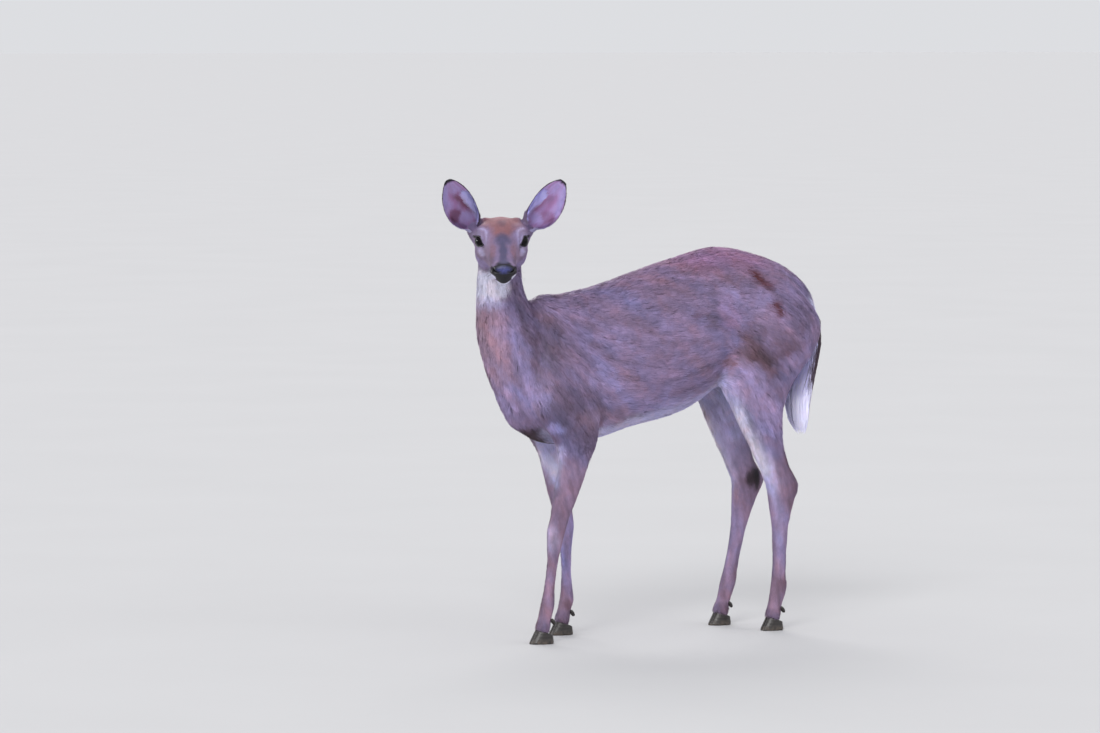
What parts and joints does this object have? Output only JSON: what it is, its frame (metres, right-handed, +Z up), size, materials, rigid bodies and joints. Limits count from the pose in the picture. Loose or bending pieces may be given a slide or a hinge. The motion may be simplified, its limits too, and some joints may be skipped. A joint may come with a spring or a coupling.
{
  "type": "white-tailed deer",
  "caption": "Life-size standing white-tailed doe, head turned to its left, ears up, tail hanging, in winter coat that is starting to moult.",
  "frame": {"origin": "floor level, under the middle of the box round the whole animal", "axes": "+X towards the tail, so the body faces -X; +Y towards the right side of the body; +Z up"},
  "size_m": [1.0434, 0.3254, 1.101],
  "materials": {
    "coat": "short dense hair, grey-brown with a paler belly, throat and tail edge",
    "eye": "wet, polished, near black",
    "horn": "dark hoof horn with a low sheen"
  },
  "bodies": {
    "root": {"head": "coat", "neck": "coat", "trunk": "coat", "tail": "coat", "ear_left": "coat", "ear_right": "coat", "foreleg_left": "coat", "foreleg_right": "coat", "hindleg_left": "coat", "hindleg_right": "coat", "eye_left": "eye", "eye_right": "eye", "hoof_fore_left_a": "horn", "hoof_fore_left_b": "horn", "dewclaw_fore_left_a": "horn", "dewclaw_fore_left_b": "horn", "hoof_fore_right_a": "horn", "hoof_fore_right_b": "horn", "dewclaw_fore_right_a": "horn", "dewclaw_fore_right_b": "horn", "hoof_hind_left_a": "horn", "hoof_hind_left_b": "horn", "dewclaw_hind_left_a": "horn", "dewclaw_hind_left_b": "horn", "hoof_hind_right_a": "horn", "hoof_hind_right_b": "horn", "dewclaw_hind_right_a": "horn", "dewclaw_hind_right_b": "horn"}
  },
  "joints": []
}
